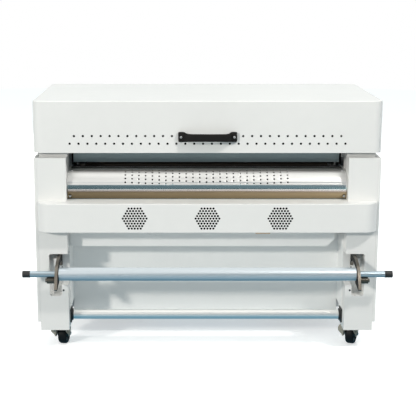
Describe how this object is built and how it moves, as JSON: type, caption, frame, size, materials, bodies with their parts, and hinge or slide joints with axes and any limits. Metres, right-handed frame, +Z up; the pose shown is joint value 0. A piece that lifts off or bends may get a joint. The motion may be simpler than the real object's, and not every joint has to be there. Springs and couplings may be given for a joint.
{
  "type": "direct-to-film powder shaker",
  "caption": "Free-standing film powder shaker and dryer: hinged oven hood, perforated exit drum, fan beam, take-up shaft on cradles, powder hopper and tray, swivel casters.",
  "frame": {"origin": "on the floor under the middle of the machine's overall box", "axes": "+Z up; the film exit and take-up shaft face -Y; +X is to the right seen from the film exit; the shaft's axis is along X"},
  "size_m": [1.252, 1.059, 0.88],
  "materials": {
    "white_coat": "fine-textured white powder coat",
    "frame_coat": "light grey powder coat",
    "grey_coat": "mid grey powder coat",
    "polished_steel": "polished stainless sheet",
    "stainless": "brushed stainless sheet",
    "zinc_steel": "zinc plated",
    "bearing_steel": "blackened bearing steel",
    "zinc_yellow": "dull passivated zinc",
    "aluminium": "clear anodised",
    "black_plastic": "moulded nylon",
    "handle_black": "grained nylon",
    "red_plastic": "gloss",
    "rubber": "matt",
    "tyre": "matt",
    "belt": "coated glass-fibre mesh",
    "motor_paint": "dark grey",
    "brass": "dull",
    "quartz": "gold-coated quartz"
  },
  "bodies": {
    "root": {"base_frame": "frame_coat", "side_covers": "white_coat", "column_left": "white_coat", "column_right": "white_coat", "neck_frame": "grey_coat", "beam_housing": "white_coat", "beam_front_grille": "white_coat", "cooling_fan_frames": "black_plastic", "arc_guide_plate": "polished_steel", "arc_plate_screws": "zinc_steel", "oven_trough": "stainless", "lower_back_panel": "white_coat", "airflow_pan": "white_coat", "exit_sensor": "brass", "conveyor_rails": "stainless", "conveyor_belt": "belt", "drive_motors": "motor_paint", "cradle_arms": "stainless", "cradle_blocks": "black_plastic", "lower_roller_bearings": "black_plastic", "base_hinge_leaves": "zinc_steel", "powder_side_plates": "white_coat", "powder_hopper": "stainless", "rear_panel": "white_coat", "exhaust_collar": "zinc_steel", "control_panel": "grey_coat", "power_inlet": "black_plastic", "control_box": "zinc_steel", "caster_plates": "zinc_yellow"},
    "hood": {"hood_shell": "white_coat", "hood_front_panel": "white_coat", "hood_handle": "handle_black", "hood_liner": "stainless", "heater_tubes": "quartz", "hood_hinge_leaves": "zinc_steel"},
    "lid": {"hopper_lid": "white_coat"},
    "tray": {"powder_tray": "stainless"},
    "take_up": {"take_up_tube": "aluminium", "take_up_rod": "aluminium", "take_up_caps": "black_plastic"},
    "bearing_left": {"cradle_bearing_left": "bearing_steel"},
    "bearing_right": {"cradle_bearing_right": "bearing_steel"},
    "guide_roller": {"lower_roller": "polished_steel"},
    "drive_roller": {"conveyor_drive_roller": "rubber"},
    "idler_roller": {"conveyor_idler_roller": "stainless"},
    "spreader": {"spreader_roller": "rubber"},
    "shaker": {"shaker_shaft": "zinc_steel"},
    "fan_left": {"fan_impeller_left": "black_plastic"},
    "fan_middle": {"fan_impeller_middle": "black_plastic"},
    "fan_right": {"fan_impeller_right": "black_plastic"},
    "estop": {"estop_button": "red_plastic"},
    "rocker": {"power_switch": "black_plastic"},
    "fork_fl": {"caster_fork_fl": "zinc_yellow"},
    "wheel_fl": {"caster_wheel_fl": "tyre"},
    "fork_fr": {"caster_fork_fr": "zinc_yellow"},
    "wheel_fr": {"caster_wheel_fr": "tyre"},
    "fork_rl": {"caster_fork_rl": "zinc_yellow"},
    "wheel_rl": {"caster_wheel_rl": "tyre"},
    "fork_rr": {"caster_fork_rr": "zinc_yellow"},
    "wheel_rr": {"caster_wheel_rr": "tyre"}
  },
  "joints": [
    {"name": "hood_hinge", "type": "hinge", "parent": "root", "child": "hood", "pos_m": [0, 0.2065, 0.712], "axis": [-1, 0, 0], "range_deg": [0, 55]},
    {"name": "lid_hinge", "type": "hinge", "parent": "root", "child": "lid", "pos_m": [0, 0.4335, 0.75], "axis": [-1, 0, 0], "range_deg": [0, 105]},
    {"name": "tray_slide", "type": "slide", "parent": "root", "child": "tray", "axis": [0, 1, 0], "range_m": [0, 0.22]},
    {"name": "take_up_spin", "type": "hinge", "parent": "root", "child": "take_up", "pos_m": [0, -0.4805, 0.302], "axis": [1, 0, 0], "continuous": true},
    {"name": "cradle_bearing_left_spin", "type": "hinge", "parent": "root", "child": "bearing_left", "pos_m": [-0.531, -0.4805, 0.28015], "axis": [1, 0, 0], "continuous": true},
    {"name": "cradle_bearing_right_spin", "type": "hinge", "parent": "root", "child": "bearing_right", "pos_m": [0.531, -0.4805, 0.28015], "axis": [1, 0, 0], "continuous": true},
    {"name": "lower_roller_spin", "type": "hinge", "parent": "root", "child": "guide_roller", "pos_m": [0, -0.3375, 0.115], "axis": [1, 0, 0], "continuous": true},
    {"name": "conveyor_drive_spin", "type": "hinge", "parent": "root", "child": "drive_roller", "pos_m": [0, 0.1225, 0.619], "axis": [1, 0, 0], "continuous": true},
    {"name": "conveyor_idler_spin", "type": "hinge", "parent": "root", "child": "idler_roller", "pos_m": [0, -0.2225, 0.619], "axis": [1, 0, 0], "continuous": true},
    {"name": "spreader_spin", "type": "hinge", "parent": "root", "child": "spreader", "pos_m": [0, 0.3525, 0.64], "axis": [1, 0, 0], "continuous": true},
    {"name": "shaker_spin", "type": "hinge", "parent": "root", "child": "shaker", "pos_m": [0, 0.2725, 0.56], "axis": [1, 0, 0], "continuous": true},
    {"name": "fan_left_spin", "type": "hinge", "parent": "root", "child": "fan_left", "pos_m": [-0.246, -0.4355, 0.488], "axis": [0, 1, 0], "continuous": true},
    {"name": "fan_middle_spin", "type": "hinge", "parent": "root", "child": "fan_middle", "pos_m": [0, -0.4355, 0.488], "axis": [0, 1, 0], "continuous": true},
    {"name": "fan_right_spin", "type": "hinge", "parent": "root", "child": "fan_right", "pos_m": [0.246, -0.4355, 0.488], "axis": [0, 1, 0], "continuous": true},
    {"name": "estop_press", "type": "slide", "parent": "root", "child": "estop", "axis": [-1, 0, 0], "range_m": [0, 0.003], "stiffness_N_per_m": 1500},
    {"name": "power_switch_rock", "type": "hinge", "parent": "root", "child": "rocker", "pos_m": [0.602, 0.3895, 0.475], "axis": [0, 0, 1], "range_deg": [-7, 7]},
    {"name": "caster_fl_swivel", "type": "hinge", "parent": "root", "child": "fork_fl", "pos_m": [-0.512, -0.3425, 0.092], "axis": [0, 0, 1], "continuous": true},
    {"name": "caster_fl_roll", "type": "hinge", "parent": "fork_fl", "child": "wheel_fl", "pos_m": [-0.5081, -0.31477, 0.0375], "axis": [0.9903, -0.1392, 0], "continuous": true},
    {"name": "caster_fr_swivel", "type": "hinge", "parent": "root", "child": "fork_fr", "pos_m": [0.512, -0.3425, 0.092], "axis": [0, 0, 1], "continuous": true},
    {"name": "caster_fr_roll", "type": "hinge", "parent": "fork_fr", "child": "wheel_fr", "pos_m": [0.52249, -0.31654, 0.0375], "axis": [0.9272, -0.3746, 0], "continuous": true},
    {"name": "caster_rl_swivel", "type": "hinge", "parent": "root", "child": "fork_rl", "pos_m": [-0.512, 0.4175, 0.092], "axis": [0, 0, 1], "continuous": true},
    {"name": "caster_rl_roll", "type": "hinge", "parent": "fork_rl", "child": "wheel_rl", "pos_m": [-0.51782, 0.44489, 0.0375], "axis": [0.9781, 0.2079, 0], "continuous": true},
    {"name": "caster_rr_swivel", "type": "hinge", "parent": "root", "child": "fork_rr", "pos_m": [0.512, 0.4175, 0.092], "axis": [0, 0, 1], "continuous": true},
    {"name": "caster_rr_roll", "type": "hinge", "parent": "fork_rr", "child": "wheel_rr", "pos_m": [0.52158, 0.44381, 0.0375], "axis": [0.9397, -0.342, 0], "continuous": true}
  ],
  "couplings": [
    {"joint": "cradle_bearing_left_spin", "follows": "take_up_spin", "ratio": -0.95454},
    {"joint": "cradle_bearing_right_spin", "follows": "take_up_spin", "ratio": -0.95454},
    {"joint": "conveyor_idler_spin", "follows": "conveyor_drive_spin", "ratio": 1}
  ]
}
